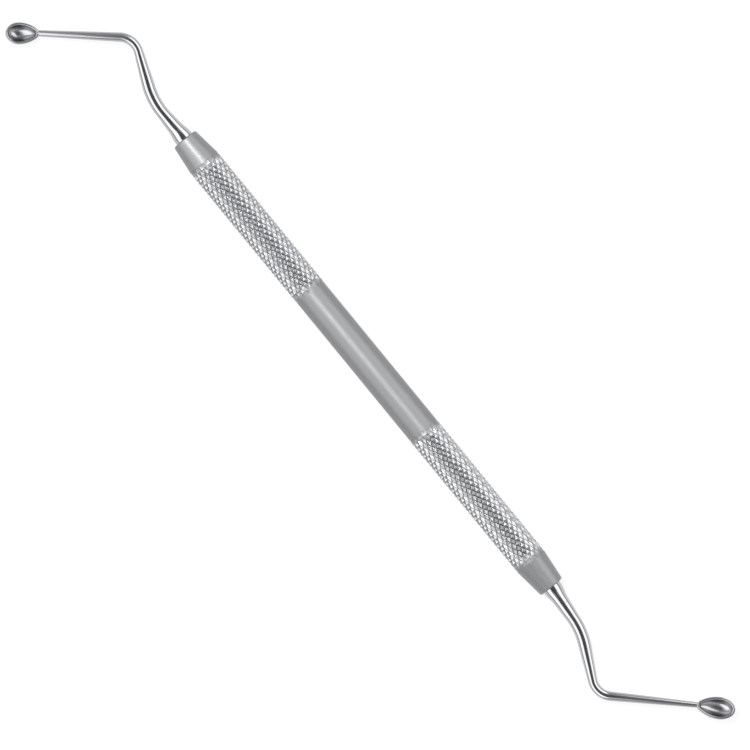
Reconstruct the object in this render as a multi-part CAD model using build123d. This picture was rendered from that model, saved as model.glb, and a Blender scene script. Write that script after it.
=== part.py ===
from build123d import *
import math
import os

# A double-ended bone curette of stainless steel: a turned handle with two knurled bands, and a
# bent, tapering working end with a spoon let into each end of it. Lengths are in millimetres and
# angles in degrees. It lies at rest with +X along the handle and both spoons open upwards.

# Handle, from its middle outwards
plain_diameter = 6.0
plain_length = 31.3
left_knurl_length = 29.5
right_knurl_length = 29.8
left_taper_length = 5.4
right_taper_length = 5.8
taper_base_diameter = 6.1
end_face_diameter = 4.8
end_corner_chamfer = 0.2

# Diamond knurl, rolled into the bar with one left-hand and one right-hand set of grooves
knurl_starts = 19
knurl_row_spacing = 0.776
knurl_raise = 0.12
knurl_groove = 0.22
knurl_end_relief = 0.06
knurl_runout_rows = 2

# Tang of each working end, brazed into a blind bore in the end of the handle
tang_diameter = 3.2
tang_length = 20.0
tang_lead_chamfer = 0.3
braze_gap = 0.02
bore_end_clearance = 0.3

# Shank of each working end, with its diameters from the handle to the spoon
shoulder_diameter = 3.45
shoulder_land = 0.4
flare_diameter = 2.74
flare_length = 2.8
first_bend_diameter = 2.29
second_bend_diameter = 1.69
left_neck_diameter = 1.14
right_neck_diameter = 1.0

# Bends of each shank: lean at the handle, straight runs and turns, each turn to the left positive
first_bend_radius = 13.5
second_bend_radius = 3.55
left_lean = 0.7
left_root_run = 5.8
left_first_turn = -24.3
left_middle_run = 6.15
left_second_turn = 71.5
left_arm_run = 14.55
left_spoon_turn = 2.6
right_lean = -5.0
right_root_run = 6.7
right_first_turn = -21.9
right_middle_run = 6.45
right_second_turn = 72.4
right_arm_run = 15.43
right_spoon_turn = -1.8

# Spoon of each working end: an egg-shaped cup, half as deep as it is wide, with its reaches
# measured both ways from its widest section
left_nose_reach = 2.35
left_tail_reach = 3.7
left_spoon_width = 3.88
right_nose_reach = 2.8
right_tail_reach = 4.0
right_spoon_width = 4.0
nose_radius = 1.6
tail_radius = 1.1
wall_thickness = 0.52
rim_rise = 0.4
stub_length = 0.34
stub_taper = 0.8

# Roll about the handle at rest, where the side of the left spoon touches the table
rest_roll = 8.27


def along_x(x, solid):
    """The solid, made standing on the XY plane, laid along +X with its base at x."""
    return Plane(origin=(x, 0, 0), z_dir=(1, 0, 0)) * solid


def rod(diameter, length):
    return Cylinder(diameter / 2, length, align=(Align.CENTER, Align.CENTER, Align.MIN))


def knurl_vertex(column, row, rows, spacing):
    """A corner of the diamond pattern: crests and groove crossings alternate both ways."""
    runout = min(1, min(row, rows - row) / knurl_runout_rows)
    height = knurl_raise if (column + row) % 2 else -knurl_groove
    radius = plain_diameter / 2 + runout * height
    if row in (0, rows):
        radius -= knurl_end_relief
    angle = math.pi * column / knurl_starts
    return Vector(row * spacing, radius * math.cos(angle), radius * math.sin(angle))


def knurl_band(length):
    """A bar of the given length along +X from the origin, with its whole side cut in diamonds."""
    rows = round(length / knurl_row_spacing)
    spacing = length / rows
    columns = 2 * knurl_starts
    corners = [
        [knurl_vertex(column, row, rows, spacing) for column in range(columns)]
        for row in range(rows + 1)
    ]
    outlines = [corners[0], corners[rows]]
    for row in range(rows):
        for column in range(columns):
            following = (column + 1) % columns
            low = (corners[row][column], corners[row][following])
            high = (corners[row + 1][column], corners[row + 1][following])
            # Each square folds along its groove, from one crossing of the grooves to the next
            if (column + row) % 2:
                outlines += [(low[0], low[1], high[0]), (low[1], high[1], high[0])]
            else:
                outlines += [(low[0], low[1], high[1]), (low[0], high[1], high[0])]
    faces = [Face(Wire.make_polygon(outline, close=True)) for outline in outlines]
    return Solid(Shell(faces))


def tapered_end(length):
    """One end of the handle, from its wide base at the origin to its flat face along +X."""
    corner = (length, end_face_diameter / 2)
    outline = Polyline((0, 0), (length, 0), corner, (0, taper_base_diameter / 2), close=True)
    profile = make_face(outline)
    edge = profile.vertices().sort_by_distance((*corner, 0))[0]
    return revolve(chamfer(edge, end_corner_chamfer), Axis.X)


def half_handle(knurl_length, taper_length):
    """The handle from its middle to one end face, along +X, with the bore for the tang."""
    knurl_start = plain_length / 2
    taper_start = knurl_start + knurl_length
    face = taper_start + taper_length
    body = along_x(0, rod(plain_diameter, knurl_start))
    body += Pos(knurl_start, 0, 0) * knurl_band(knurl_length)
    body += Pos(taper_start, 0, 0) * tapered_end(taper_length)
    bore_depth = tang_length + bore_end_clearance
    return body - along_x(face - bore_depth, rod(tang_diameter + 2 * braze_gap, bore_depth))


def tapered_run(edge, start_diameter, end_diameter):
    """A straight stretch of the shank."""
    cone = Cone(
        start_diameter / 2,
        end_diameter / 2,
        edge.length,
        align=(Align.CENTER, Align.CENTER, Align.MIN),
    )
    return Plane(origin=edge @ 0, z_dir=edge % 0) * cone


def bend(edge, diameter):
    """A bend of the shank, of one diameter all along."""
    return sweep(Plane(origin=edge @ 0, z_dir=edge % 0) * Circle(diameter / 2), path=edge)


def shank_root(edge):
    """The first stretch of the shank, flared at the handle and trimmed flat to seat on its face."""
    # The shoulder starts this much inside the face, so that the trim leaves a full disc
    overrun = shoulder_diameter / 4
    shoulder = Line((-overrun, shoulder_diameter / 2), (shoulder_land, shoulder_diameter / 2))
    taper = Line((flare_length, flare_diameter / 2), (edge.length, first_bend_diameter / 2))
    flare = Spline(shoulder @ 1, taper @ 0, tangents=[shoulder % 1, taper % 0])
    axis = Polyline(taper @ 1, (edge.length, 0), (-overrun, 0), shoulder @ 0)
    root = revolve(make_face(Curve() + [shoulder, flare, taper, axis]), Axis.X)
    lean = math.degrees(math.atan2((edge % 0).Y, (edge % 0).X))
    return split(Rot(0, 0, lean) * root, bisect_by=Plane.YZ, keep=Keep.TOP)


def quarter_outline(reach, end_radius, half_width):
    """A quarter of an egg, as a flank arc from its widest point and a tangent arc round its end."""
    run = reach - end_radius
    flank_radius = (run**2 + half_width**2 - end_radius**2) / (2 * (half_width - end_radius))
    turn = math.degrees(math.atan2(flank_radius - half_width, run))
    flank = CenterArc((0, half_width - flank_radius), flank_radius, turn, 90 - turn)
    return [flank, CenterArc((run, 0), end_radius, 0, turn)]


def half_outline(nose_reach, tail_reach, width, inset):
    """Half of a spoon's egg-shaped outline, from nose to tail, drawn in from its edge by inset."""
    half_width = width / 2 - inset
    nose = quarter_outline(nose_reach - inset, nose_radius - inset, half_width)
    tail = quarter_outline(tail_reach - inset, tail_radius - inset, half_width)
    return nose + [arc.mirror(Plane.YZ) for arc in tail]


def cup(nose_reach, tail_reach, width, inset):
    """The half-round solid under an outline: the outline turned half a turn about its long axis."""
    chord = Line((inset - tail_reach, 0), (nose_reach - inset, 0))
    profile = make_face(Curve() + half_outline(nose_reach, tail_reach, width, inset) + [chord])
    return revolve(profile, Axis.X, -180)


def spoon(nose_reach, tail_reach, width, neck_diameter):
    """The cup, with the point where the shank enters its back at the origin."""
    egg = (nose_reach, tail_reach, width)
    wall = cup(*egg, 0) - cup(*egg, wall_thickness)
    # The lip is a half-round bead along the middle of the wall's flat top
    middle = half_outline(*egg, wall_thickness / 2)
    path = Wire(middle + [arc.mirror(Plane.XZ) for arc in middle])
    top = CenterArc((0, 0), wall_thickness / 2, 0, 180)
    section = make_face(Curve() + [top, Line(top @ 1, top @ 0)])
    across = Vector(0, 0, 1).cross(path % 0)
    wall += sweep(Plane(origin=path @ 0, x_dir=across, z_dir=path % 0) * section, path=path)
    entry = tail_reach - tail_radius + math.sqrt(tail_radius**2 - (neck_diameter / 2) ** 2)
    return Pos(entry, 0, rim_rise) * wall


def working_end(
    lean, root_run, first_turn, middle_run, second_turn, arm_run, spoon_turn, neck_diameter, bowl
):
    """Tang, shank and spoon, with the handle's end face at the origin and facing +X."""
    root = PolarLine((0, 0), root_run, lean)
    first = JernArc(root @ 1, root % 1, first_bend_radius, first_turn)
    middle = PolarLine(first @ 1, middle_run, direction=first % 1)
    second = JernArc(middle @ 1, middle % 1, second_bend_radius, second_turn)
    arm = PolarLine(second @ 1, arm_run, direction=second % 1)
    stub = PolarLine(arm @ 1, stub_length, direction=arm % 1)

    tang = chamfer(rod(tang_diameter, tang_length).edges().sort_by(Axis.Z)[0], tang_lead_chamfer)
    body = along_x(-tang_length, tang) + shank_root(root)
    body += bend(first, first_bend_diameter)
    body += tapered_run(middle, first_bend_diameter, second_bend_diameter)
    body += bend(second, second_bend_diameter)
    body += tapered_run(arm, second_bend_diameter, neck_diameter)
    body += tapered_run(stub, neck_diameter, neck_diameter * stub_taper)
    heading = lean + first_turn + second_turn + spoon_turn
    return body + Pos(arm @ 1) * Rot(0, 0, heading) * bowl


def face_distance(knurl_length, taper_length):
    """From the middle of the handle to one of its end faces."""
    return plain_length / 2 + knurl_length + taper_length


left_end = working_end(
    left_lean,
    left_root_run,
    left_first_turn,
    left_middle_run,
    left_second_turn,
    left_arm_run,
    left_spoon_turn,
    left_neck_diameter,
    spoon(left_nose_reach, left_tail_reach, left_spoon_width, left_neck_diameter),
)
right_end = working_end(
    right_lean,
    right_root_run,
    right_first_turn,
    right_middle_run,
    right_second_turn,
    right_arm_run,
    right_spoon_turn,
    right_neck_diameter,
    spoon(right_nose_reach, right_tail_reach, right_spoon_width, right_neck_diameter),
)
half_turn = Rot(0, 0, 180)
pieces = {
    "handle": half_handle(right_knurl_length, right_taper_length)
    + half_turn * half_handle(left_knurl_length, left_taper_length),
    "working_end_left": half_turn
    * Pos(face_distance(left_knurl_length, left_taper_length), 0, 0)
    * left_end,
    "working_end_right": Pos(face_distance(right_knurl_length, right_taper_length), 0, 0) * right_end,
}

# The origin is under the middle of the rolled instrument, on the table that it lies on
at_rest = {name: Rot(rest_roll, 0, 0) * piece for name, piece in pieces.items()}
extent = Compound(list(at_rest.values())).bounding_box()
ground = Pos(-extent.center().X, -extent.center().Y, -extent.min.Z)
os.makedirs("parts", exist_ok=True)
for name, piece in at_rest.items():
    export_step(ground * piece, f"parts/{name}.step")
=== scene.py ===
import bmesh
import bpy
import math
from mathutils import Matrix, Vector


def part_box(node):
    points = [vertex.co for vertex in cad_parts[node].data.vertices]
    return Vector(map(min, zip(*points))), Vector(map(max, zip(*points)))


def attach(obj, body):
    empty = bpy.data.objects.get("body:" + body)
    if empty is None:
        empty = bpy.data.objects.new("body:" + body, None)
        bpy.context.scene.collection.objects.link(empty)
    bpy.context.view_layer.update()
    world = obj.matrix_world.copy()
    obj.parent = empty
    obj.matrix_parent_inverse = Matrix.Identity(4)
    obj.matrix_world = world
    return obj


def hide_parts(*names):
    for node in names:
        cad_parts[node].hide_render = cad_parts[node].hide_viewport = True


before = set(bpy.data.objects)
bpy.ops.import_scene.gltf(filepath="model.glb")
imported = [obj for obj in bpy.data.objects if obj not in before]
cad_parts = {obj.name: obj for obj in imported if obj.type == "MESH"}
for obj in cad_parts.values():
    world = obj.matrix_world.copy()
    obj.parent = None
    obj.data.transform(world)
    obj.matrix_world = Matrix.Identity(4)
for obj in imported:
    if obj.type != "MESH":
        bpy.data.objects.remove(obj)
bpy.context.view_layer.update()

# Handle: one bar of stainless steel, turned between centres, with two bands of diamond knurling
# rolled into it and a short taper at each end. It is bead blasted to a grey satin, and the rolls
# burnish the crests of the knurling brighter, while its grooves are darkened with painted shade.

mm = 0.001
handle_low, handle_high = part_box("handle")
handle_axis = (handle_low + handle_high) / 2
weld_distance = 0.0001 * mm
crest_radius = 3.04 * mm
crest_edges = 4
crest_percent = 12
smooth_below = math.radians(24)

plain_middle = 50.55 * mm
plain_half = 16.6 * mm
knurl_middle = 50.7 * mm
knurl_half = 44.4 * mm
runout = 1.4 * mm
groove_radius = 2.85 * mm
groove_fade = 0.1 * mm

blasted_grey = 0.28
burnished_grey = 0.51
groove_shade_grey = 0.3
cool = (0.985, 0.995, 1.015)
blasted_roughness = 0.5
burnishing = 0.22
grain_depth = 0.06
taper_coat = 0.14
taper_coat_roughness = 0.2
blast_scale = 9000
cloud_scale = 160
turning_scale = 11000
turning_stretch = (1, 0.03, 0.03)
turning_share = 0.7
surface_depth = 0.01 * mm
handle_bump = 0.35


def new_piece(name, bm, material, node):
    """Makes the mesh an object that stands for a node of the frame."""
    mesh = bpy.data.meshes.new(name)
    bm.to_mesh(mesh)
    bm.free()
    mesh.materials.append(material)
    piece = bpy.data.objects.new(name, mesh)
    bpy.context.collection.objects.link(piece)
    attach(piece, "root")
    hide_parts(node)
    return piece


def shade_by_angle(bm, limit):
    """Shades every face smooth and keeps the edges sharp that turn by more than the limit."""
    for face in bm.faces:
        face.smooth = True
    for edge in bm.edges:
        edge.smooth = edge.is_manifold and edge.calc_face_angle() < limit


class Value:
    """A socket that carries a number, for writing shader maths as expressions."""

    def __init__(self, shader, socket):
        self.shader = shader
        self.socket = socket

    def math(self, operation, *others):
        values = dict(enumerate((self, *others)))
        return self.shader.node("ShaderNodeMath", {"operation": operation}, values)

    def __add__(self, other):
        return self.math("ADD", other)

    def __radd__(self, other):
        return self.math("ADD", other)

    def __sub__(self, other):
        return self.math("SUBTRACT", other)

    def __rsub__(self, other):
        return self.shader.node("ShaderNodeMath", {"operation": "SUBTRACT"}, {0: other, 1: self})

    def __mul__(self, other):
        return self.math("MULTIPLY", other)

    def __rmul__(self, other):
        return self.math("MULTIPLY", other)


class Shader:
    """The node tree of one material, with its Principled shader."""

    def __init__(self, name):
        self.material = bpy.data.materials.new(name)
        self.material.use_nodes = True
        self.tree = self.material.node_tree
        self.principled = self.tree.nodes["Principled BSDF"]

    def put(self, node, key, value):
        if isinstance(value, Value):
            self.tree.links.new(value.socket, node.inputs[key])
        else:
            node.inputs[key].default_value = value

    def node(self, kind, settings=None, values=None, output=0):
        """Adds a node of a kind, with its settings and then the values or links of its sockets."""
        made = self.tree.nodes.new(kind)
        for key, value in (settings or {}).items():
            setattr(made, key, value)
        for key, value in (values or {}).items():
            self.put(made, key, value)
        return Value(self, made.outputs[output])

    def place(self):
        """Where a point lies in the piece, as the three numbers X, Y and Z."""
        point = self.node("ShaderNodeTexCoord", output="Object")
        x = self.node("ShaderNodeSeparateXYZ", values={"Vector": point})
        return [Value(self, output) for output in x.socket.node.outputs]

    def noise(self, scale, detail, stretch=(1, 1, 1)):
        """Noise in the piece, with features of 1 / scale metres, drawn out by stretch."""
        point = self.node("ShaderNodeTexCoord", output="Object")
        mapped = self.node("ShaderNodeMapping", values={"Vector": point, "Scale": stretch})
        values = {"Vector": mapped, "Scale": scale, "Detail": detail}
        return self.node("ShaderNodeTexNoise", values=values)

    def step(self, value, edge, width):
        """Rises from 0 to 1 over a width round the edge."""
        values = {"Value": value, "From Min": edge - width / 2, "From Max": edge + width / 2}
        return self.node("ShaderNodeMapRange", {"interpolation_type": "SMOOTHSTEP"}, values)

    def bump(self, strength, height):
        """The surface's normal, with a height between 0 and 1 of fine relief on it."""
        values = {"Strength": strength, "Distance": surface_depth, "Height": height}
        return self.node("ShaderNodeBump", values=values)

    def finish(self, **sockets):
        """Sets the Principled shader's sockets, named with underscores for spaces."""
        for key, value in sockets.items():
            self.put(self.principled, key.replace("_", " "), value)
        return self.material


def satin_steel():
    """Blasted grey where the bar is smooth, burnished by the rolls where it is knurled, with
    painted shade in the grooves of the knurling.
    """
    steel = Shader("satin_steel")
    x, y, z = steel.place()
    y, z = y - handle_axis.y, z - handle_axis.z
    # Painted shade: below the groove radius the knurling's grooves get a darker grey.
    groove_shade_mask = 1 - steel.step((y * y + z * z).math("SQRT"), groove_radius, groove_fade)
    from_plain = (x - (handle_low.x + plain_middle)).math("ABSOLUTE")
    from_knurl = (x - (handle_low.x + knurl_middle)).math("ABSOLUTE")
    past_plain = steel.step(from_plain, plain_half, runout)
    past_knurl = steel.step(from_knurl, knurl_half, runout)
    knurled = past_plain - past_knurl

    # Burnished grey on the crests, blended down to the painted shade grey in the grooves.
    burnish_and_groove_shade = burnished_grey - groove_shade_mask * (burnished_grey - groove_shade_grey)
    grey = knurled * burnish_and_groove_shade + (1 - knurled) * blasted_grey
    colour = {name: grey * share for name, share in zip(("Red", "Green", "Blue"), cool)}

    blast = steel.noise(blast_scale, detail=3)
    cloud = steel.noise(cloud_scale, detail=2)
    turning = steel.noise(turning_scale, detail=2, stretch=turning_stretch)
    grain = blast * grain_depth + cloud * grain_depth - grain_depth
    height = turning * turning_share + blast * (1 - turning_share)
    return steel.finish(
        Base_Color=steel.node("ShaderNodeCombineColor", values=colour),
        Metallic=1.0,
        Roughness=grain + blasted_roughness - knurled * burnishing,
        Coat_Weight=past_knurl * taper_coat,
        Coat_Roughness=taper_coat_roughness,
        Normal=steel.bump(handle_bump, height),
    )


def handle_mesh():
    """The turned and knurled bar, with the points worn off the crests of its diamonds."""
    bm = bmesh.new()
    bm.from_mesh(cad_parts["handle"].data)
    bmesh.ops.remove_doubles(bm, verts=bm.verts, dist=weld_distance)
    outer = [v for v in bm.verts if (v.co.yz - handle_axis.yz).length > crest_radius]
    bmesh.ops.bevel(
        bm,
        geom=[v for v in outer if len(v.link_edges) == crest_edges],
        offset=crest_percent,
        offset_type="PERCENT",
        segments=1,
        profile=0.5,
        affect="VERTICES",
        material=-1,
    )
    shade_by_angle(bm, smooth_below)
    return bm


handle = new_piece("handle_bar", handle_mesh(), satin_steel(), "handle")

# Working ends: two rods of hardened stainless steel, each ground to a taper, bent twice by hand
# and forged into a spoon. The tang is brazed into the handle with the shoulder against its face.
# The root is polished to a mirror, and from the second bend on the polish is softer.

rest_roll = math.radians(8.27)
ring_segments = 64
tang_radius = 1.6 * mm
tang_length = 20.0 * mm
tang_chamfer = 0.3 * mm
shoulder_radius = 1.725 * mm
shoulder_land = 0.4 * mm
flare_radius = 1.37 * mm
flare_length = 2.8 * mm
flare_steps = 16
first_bend_radius = 13.5 * mm
first_bend_rod = 1.145 * mm
first_bend_steps = 16
second_bend_radius = 3.55 * mm
second_bend_rod = 0.845 * mm
second_bend_steps = 32
stub_length = 0.34 * mm
stub_taper = 0.8

nose_radius = 1.6 * mm
tail_radius = 1.1 * mm
end_arc_steps = 12
flank_arc_steps = 16
cup_steps = 48
wall_thickness = 0.52 * mm
rim_rise = 0.4 * mm
merge_distance = 0.001 * mm

steel_grey = (0.483, 0.488, 0.5)
polish_roughness = 0.07
cloud_roughness = 0.05
polish_cloud_scale = 220
polish_wave_scale = 500
polish_bump = 0.05
second_bend_reach = 71.5 * mm
arm_roughness = 0.17


class Trace:
    """A section drawn out along straights and bends in the XY plane."""

    def __init__(self, bm, verts, place, angle):
        self.bm = bm
        self.place = place
        self.angle = angle
        self.hold(verts + list(dict.fromkeys(e for v in verts for e in v.link_edges)))

    def hold(self, geometry):
        self.verts = [g for g in geometry if isinstance(g, bmesh.types.BMVert)]
        self.edges = [g for g in geometry if isinstance(g, bmesh.types.BMEdge)]

    def run(self, length, factor=1):
        """Goes straight on, while the section grows by a factor."""
        if self.edges:
            self.hold(bmesh.ops.extrude_edge_only(self.bm, edges=self.edges)["geom"])
        else:
            self.hold(bmesh.ops.extrude_vert_indiv(self.bm, verts=self.verts)["verts"])
        middle = Matrix.Translation(-self.place)
        bmesh.ops.scale(self.bm, vec=(factor,) * 3, space=middle, verts=self.verts)
        step = Vector((math.cos(self.angle), math.sin(self.angle), 0)) * length
        bmesh.ops.translate(self.bm, vec=step, verts=self.verts)
        self.place = self.place + step

    def turn(self, radius, angle, steps):
        """Goes round a bend, to the left where the angle is positive."""
        left = Vector((-math.sin(self.angle), math.cos(self.angle), 0))
        centre = self.place + left * math.copysign(radius, angle)
        made = bmesh.ops.spin(
            self.bm,
            geom=self.verts + self.edges,
            cent=centre,
            axis=(0, 0, 1),
            angle=angle,
            steps=steps,
        )
        self.hold(made["geom_last"])
        self.place = centre + Matrix.Rotation(angle, 3, "Z") @ (self.place - centre)
        self.angle += angle

    def close(self):
        bmesh.ops.contextual_create(self.bm, geom=self.edges)


class Rod(Trace):
    """A round section, which keeps count of its radius."""

    def __init__(self, bm, radius, place, angle):
        facing = Matrix.Rotation(angle, 4, "Z") @ Matrix.Rotation(math.pi / 2, 4, "Y")
        matrix = Matrix.Translation(place) @ facing
        made = bmesh.ops.create_circle(bm, segments=ring_segments, radius=radius, matrix=matrix)
        self.radius = radius
        super().__init__(bm, made["verts"], place, angle)

    def run_to(self, length, radius):
        self.run(length, radius / self.radius)
        self.radius = radius


def tang(bm):
    rod = Rod(bm, tang_radius - tang_chamfer, Vector((-tang_length, 0, 0)), 0)
    rod.close()
    rod.run_to(tang_chamfer, tang_radius)
    rod.run(tang_length - tang_chamfer + shoulder_land)
    rod.close()


def shank(bm, lean, root_run, first_turn, middle_run, second_turn, arm_run, neck_radius):
    """The bent rod from the handle's face on: gives the place and angle where the spoon starts."""
    overrun = shoulder_radius / 2
    heading = Vector((math.cos(lean), math.sin(lean), 0))
    rod = Rod(bm, shoulder_radius, -overrun * heading, lean)
    rod.run(overrun + shoulder_land)
    flare_run = flare_length - shoulder_land
    drop = shoulder_radius - flare_radius
    end_slope = (flare_radius - first_bend_rod) / (root_run - flare_length) * flare_run / drop
    for step in range(1, flare_steps + 1):
        t = step / flare_steps
        fall = t * t * (3 - 2 * t) + end_slope * t * t * (t - 1)
        rod.run_to(flare_run / flare_steps, shoulder_radius - drop * fall)
    rod.run_to(root_run - flare_length, first_bend_rod)
    rod.turn(first_bend_radius, first_turn, first_bend_steps)
    rod.run_to(middle_run, second_bend_rod)
    rod.turn(second_bend_radius, second_turn, second_bend_steps)
    rod.run_to(arm_run, neck_radius)
    end = rod.place
    rod.run(stub_length, stub_taper)
    rod.close()
    cut_flat(bm)
    return end, rod.angle


def cut_flat(bm):
    """Trims the root where it seats on the handle's face."""
    everything = bm.verts[:] + bm.edges[:] + bm.faces[:]
    cut = bmesh.ops.bisect_plane(
        bm, geom=everything, plane_co=(0, 0, 0), plane_no=(1, 0, 0), clear_inner=True
    )
    rim = [g for g in cut["geom_cut"] if isinstance(g, bmesh.types.BMEdge)]
    bmesh.ops.contextual_create(bm, geom=rim)


def half_outline_turns(nose_reach, tail_reach, half_width, inset):
    """Radius, angle and steps of the four arcs of half a spoon's outline, from nose to tail."""
    turns = []
    for reach, end_radius in ((nose_reach, nose_radius), (tail_reach, tail_radius)):
        run = reach - end_radius
        flank = (run**2 + half_width**2 - end_radius**2) / (2 * (half_width - end_radius))
        angle = math.atan2(flank - half_width, run)
        end_arc = (end_radius - inset, angle, end_arc_steps)
        flank_arc = (flank - inset, math.pi / 2 - angle, flank_arc_steps)
        turns.append([end_arc, flank_arc])
    nose, tail = turns
    return nose + tail[::-1]


def wall_section(bm, bowl):
    """Half the wall's top as one face: out along its outer edge, nose to tail, and back inside."""
    nose = Vector((bowl["nose_reach"], 0, 0))
    line = Trace(bm, [bm.verts.new(nose)], nose, math.pi / 2)
    for radius, angle, steps in half_outline_turns(**bowl, inset=0):
        line.turn(radius, angle, steps)
    line.angle = 0
    line.run(wall_thickness)
    line.angle = math.pi / 2
    for radius, angle, steps in reversed(half_outline_turns(**bowl, inset=wall_thickness)):
        line.turn(radius, -angle, steps)
    line.angle = 0
    line.run(wall_thickness)


def cup(bm, bowl):
    """The wall's half top, turned half a turn about the spoon's long axis."""
    known = set(bm.verts)
    wall_section(bm, bowl)
    verts = [v for v in bm.verts if v not in known]
    bmesh.ops.remove_doubles(bm, verts=verts, dist=merge_distance)
    outline = [e for e in bm.edges if e.verts[0] not in known]
    top = bmesh.ops.contextual_create(bm, geom=outline)["faces"]
    bmesh.ops.spin(bm, geom=top, cent=(0, 0, 0), axis=(1, 0, 0), angle=-math.pi, steps=cup_steps)
    verts = [v for v in bm.verts if v not in known]
    bmesh.ops.remove_doubles(bm, verts=verts, dist=merge_distance)


def lip(bm, bowl):
    """The full-round bead that the wall ends in, all the way round the middle of its top."""
    inset = wall_thickness / 2
    bead = Rod(bm, inset, Vector((bowl["nose_reach"] - inset, 0, 0)), math.pi / 2)
    half = half_outline_turns(**bowl, inset=inset)
    for radius, angle, steps in half + half[::-1]:
        bead.turn(radius, angle, steps)


def spoon(bm, bowl, neck_radius, end, angle):
    """The cup and its lip, set so that the shank's end enters the cup's back."""
    known = set(bm.verts)
    cup(bm, bowl)
    lip(bm, bowl)
    verts = [v for v in bm.verts if v not in known]
    bmesh.ops.remove_doubles(bm, verts=verts, dist=merge_distance)
    verts = [v for v in bm.verts if v not in known]
    entry = bowl["tail_reach"] - tail_radius + math.sqrt(tail_radius**2 - neck_radius**2)
    bmesh.ops.translate(bm, vec=(entry, 0, rim_rise), verts=verts)
    place = Matrix.Translation(end) @ Matrix.Rotation(angle, 4, "Z")
    bmesh.ops.transform(bm, matrix=place, verts=verts)


def working_end_mesh(place, rod, spoon_turn, bowl):
    """One working end, made with the handle's face at the origin and then put in its place."""
    bm = bmesh.new()
    end, angle = shank(bm, **rod)
    tang(bm)
    spoon(bm, bowl, rod["neck_radius"], end, angle + spoon_turn)
    bmesh.ops.transform(bm, matrix=place, verts=bm.verts)
    bmesh.ops.recalc_face_normals(bm, faces=bm.faces)
    shade_by_angle(bm, smooth_below)
    return bm


def polished_steel():
    """A mirror from the handle to the second bend, and softer from there to the spoon's nose."""
    steel = Shader("polished_steel")
    along_handle = steel.place()[0].math("ABSOLUTE")
    arm = steel.step(along_handle, second_bend_reach, second_bend_radius)
    cloud = steel.noise(polish_cloud_scale, detail=2)
    waves = steel.noise(polish_wave_scale, detail=1)
    return steel.finish(
        Base_Color=(*steel_grey, 1),
        Metallic=1.0,
        Roughness=cloud * cloud_roughness + polish_roughness + arm * arm_roughness,
        Normal=steel.bump(polish_bump, waves),
    )


polished = polished_steel()
rolled = Matrix.Rotation(rest_roll, 4, "X")
half_turn = Matrix.Rotation(math.pi, 4, "Z")

left_rod = {
    "lean": math.radians(0.7),
    "root_run": 5.8 * mm,
    "first_turn": math.radians(-24.3),
    "middle_run": 6.15 * mm,
    "second_turn": math.radians(71.5),
    "arm_run": 14.55 * mm,
    "neck_radius": 0.57 * mm,
}
left_spoon_turn = math.radians(2.6)
left_bowl = {"nose_reach": 2.35 * mm, "tail_reach": 3.7 * mm, "half_width": 1.94 * mm}
left_place = Matrix.Translation((handle_low.x, *handle_axis.yz)) @ rolled @ half_turn
left_mesh = working_end_mesh(left_place, left_rod, left_spoon_turn, left_bowl)
left_end = new_piece(
    "left_working_end", left_mesh, polished, "working_end_left"
)

right_rod = {
    "lean": math.radians(-5.0),
    "root_run": 6.7 * mm,
    "first_turn": math.radians(-21.9),
    "middle_run": 6.45 * mm,
    "second_turn": math.radians(72.4),
    "arm_run": 15.43 * mm,
    "neck_radius": 0.5 * mm,
}
right_spoon_turn = math.radians(-1.8)
right_bowl = {"nose_reach": 2.8 * mm, "tail_reach": 4.0 * mm, "half_width": 2.0 * mm}
right_place = Matrix.Translation((handle_high.x, *handle_axis.yz)) @ rolled
right_mesh = working_end_mesh(right_place, right_rod, right_spoon_turn, right_bowl)
right_end = new_piece(
    "right_working_end", right_mesh, polished, "working_end_right"
)

# Studio: white paper under wide softboxes to the left and right, a smaller box beyond each end of
# the handle and a small lamp, with a dark card overhead. The left softbox has a second copy for
# the right working end alone. The camera looks straight down on the instrument.

pixel_size = 1 / 5684
image_size = 750
origin_in_image = (369.7, 370.6)
camera_roll = math.radians(50.66)
camera_height = 1.0
image_right = Vector((math.cos(camera_roll), math.sin(camera_roll), 0))
image_up = Vector((-math.sin(camera_roll), math.cos(camera_roll), 0))

matt_roughness = 0.9
paper_white = (0.86, 0.86, 0.86, 1)
seen_by = ("Is Camera Ray", "Is Glossy Ray", "Is Transmission Ray")
seen_white_share = 0.8
paper_radius = 6.0
paper_drop = 0.02 * mm
ceiling_grey = (0.12, 0.12, 0.12, 1)
ceiling_radii = (0.75, 0.5, 1)
ceiling_turn = math.radians(-12)
ceiling_height = 1.15

softbox_tilt = math.radians(52)
softbox_distance = 1.2
softbox_height = 0.9
softbox_radiance = 1.65
end_box_tilt = math.radians(45)
end_box_size = (0.5, 0.7)
end_box_radiance = 2.0
lamp_tilt = math.radians(15)
lamp_shift = -0.02
lamp_distance = 1.0
lamp_size = (0.12, 0.12)
lamp_radiance = 125
room_grey = (0.42, 0.42, 0.43, 1)


def card(name, radius, material):
    """A round card that lies in the XY plane."""
    bm = bmesh.new()
    bmesh.ops.create_circle(bm, cap_ends=True, segments=96, radius=radius)
    mesh = bpy.data.meshes.new(name)
    bm.to_mesh(mesh)
    bm.free()
    mesh.materials.append(material)
    made = bpy.data.objects.new(name, mesh)
    bpy.context.collection.objects.link(made)
    return made


def table_paper():
    """White as the camera and the polished steel see it, with part of the shadow kept."""
    paper = Shader("table_paper")
    seen = [paper.node("ShaderNodeLightPath", output=name) for name in seen_by]
    glow = paper.node("ShaderNodeEmission", values={"Color": (1, 1, 1, 1), "Strength": 1.0})
    diffuse = Value(paper, paper.principled.outputs[0])
    share = seen[0].math("MAXIMUM", seen[1]).math("MAXIMUM", seen[2]) * seen_white_share
    mix = paper.node("ShaderNodeMixShader", values={0: share, 1: diffuse, 2: glow})
    paper.tree.links.new(mix.socket, paper.tree.nodes["Material Output"].inputs["Surface"])
    return paper.finish(Base_Color=paper_white, Roughness=matt_roughness)


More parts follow.
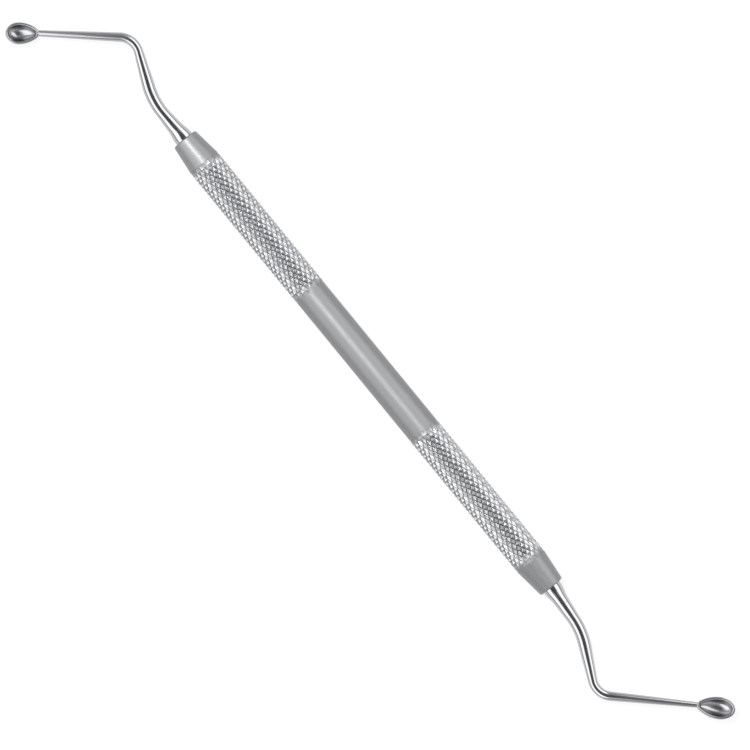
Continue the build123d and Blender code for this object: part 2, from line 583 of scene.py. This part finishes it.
def softbox(name, direction, distance, size, radiance, receivers=None):
    """A lit rectangle that faces the origin, and shines on everything or on one group only."""
    light = bpy.data.lights.new(name, "AREA")
    light.shape = "RECTANGLE"
    light.size, light.size_y = size
    light.energy = radiance * math.pi * size[0] * size[1]
    made = bpy.data.objects.new(name, light)
    made.location = direction.normalized() * distance
    made.rotation_euler = direction.to_track_quat("Z", "Y").to_euler()
    made.visible_camera = False
    made.light_linking.receiver_collection = receivers
    bpy.context.collection.objects.link(made)


def shines_on(name, *objects):
    """A group for a lamp that is shaded from everything else."""
    group = bpy.data.collections.new(name)
    for thing in objects:
        group.objects.link(thing)
    return group


table = card("table", paper_radius, table_paper())
table.location.z = -paper_drop

dark_paint = Shader("dark_ceiling")
dark_card = dark_paint.finish(Base_Color=ceiling_grey, Roughness=matt_roughness)
ceiling = card("dark_ceiling", 1.0, dark_card)
ceiling.scale = ceiling_radii
ceiling.rotation_euler.z = ceiling_turn
ceiling.location.z = ceiling_height
ceiling.visible_camera = False

but_right_end = shines_on("all_but_the_right_end", handle, table, left_end)
only_right_end = shines_on("only_the_right_end", right_end)
but_ends = shines_on("all_but_the_ends", handle, table)

for name, degrees, width, lit in (
    ("left_softbox", 194, 1.6, but_right_end),
    ("left_softbox_for_right_end", 206, 2.0, only_right_end),
    ("right_softbox", 32, 1.8, None),
):
    level = Matrix.Rotation(math.radians(degrees), 3, "Z") @ image_right
    direction = level * math.sin(softbox_tilt) + Vector((0, 0, math.cos(softbox_tilt)))
    size = (width, softbox_height)
    softbox(name, direction, softbox_distance, size, softbox_radiance, lit)

for name, side in (("near_end_box", 1), ("far_end_box", -1)):
    direction = Vector((side * math.sin(end_box_tilt), 0, math.cos(end_box_tilt)))
    softbox(name, direction, softbox_distance, end_box_size, end_box_radiance, but_ends)

lamp_direction = Vector((-math.sin(lamp_tilt), lamp_shift, math.cos(lamp_tilt)))
softbox("small_lamp", lamp_direction, lamp_distance, lamp_size, lamp_radiance, but_ends)

world = bpy.data.worlds.new("room")
world.use_nodes = True
world.node_tree.nodes["Background"].inputs["Color"].default_value = room_grey
bpy.context.scene.world = world

view = bpy.data.cameras.new("camera")
view.sensor_width = 36
view.lens = view.sensor_width * (camera_height - handle_axis.z) / (image_size * pixel_size)
view.clip_end = 20
camera = bpy.data.objects.new("camera", view)
across = (image_size / 2 - origin_in_image[0]) * pixel_size
up = (origin_in_image[1] - image_size / 2) * pixel_size
camera.location = image_right * across + image_up * up + Vector((0, 0, camera_height))
camera.rotation_euler = (0, 0, camera_roll)
bpy.context.collection.objects.link(camera)
bpy.context.scene.camera = camera
bpy.context.scene.view_settings.view_transform = "Standard"
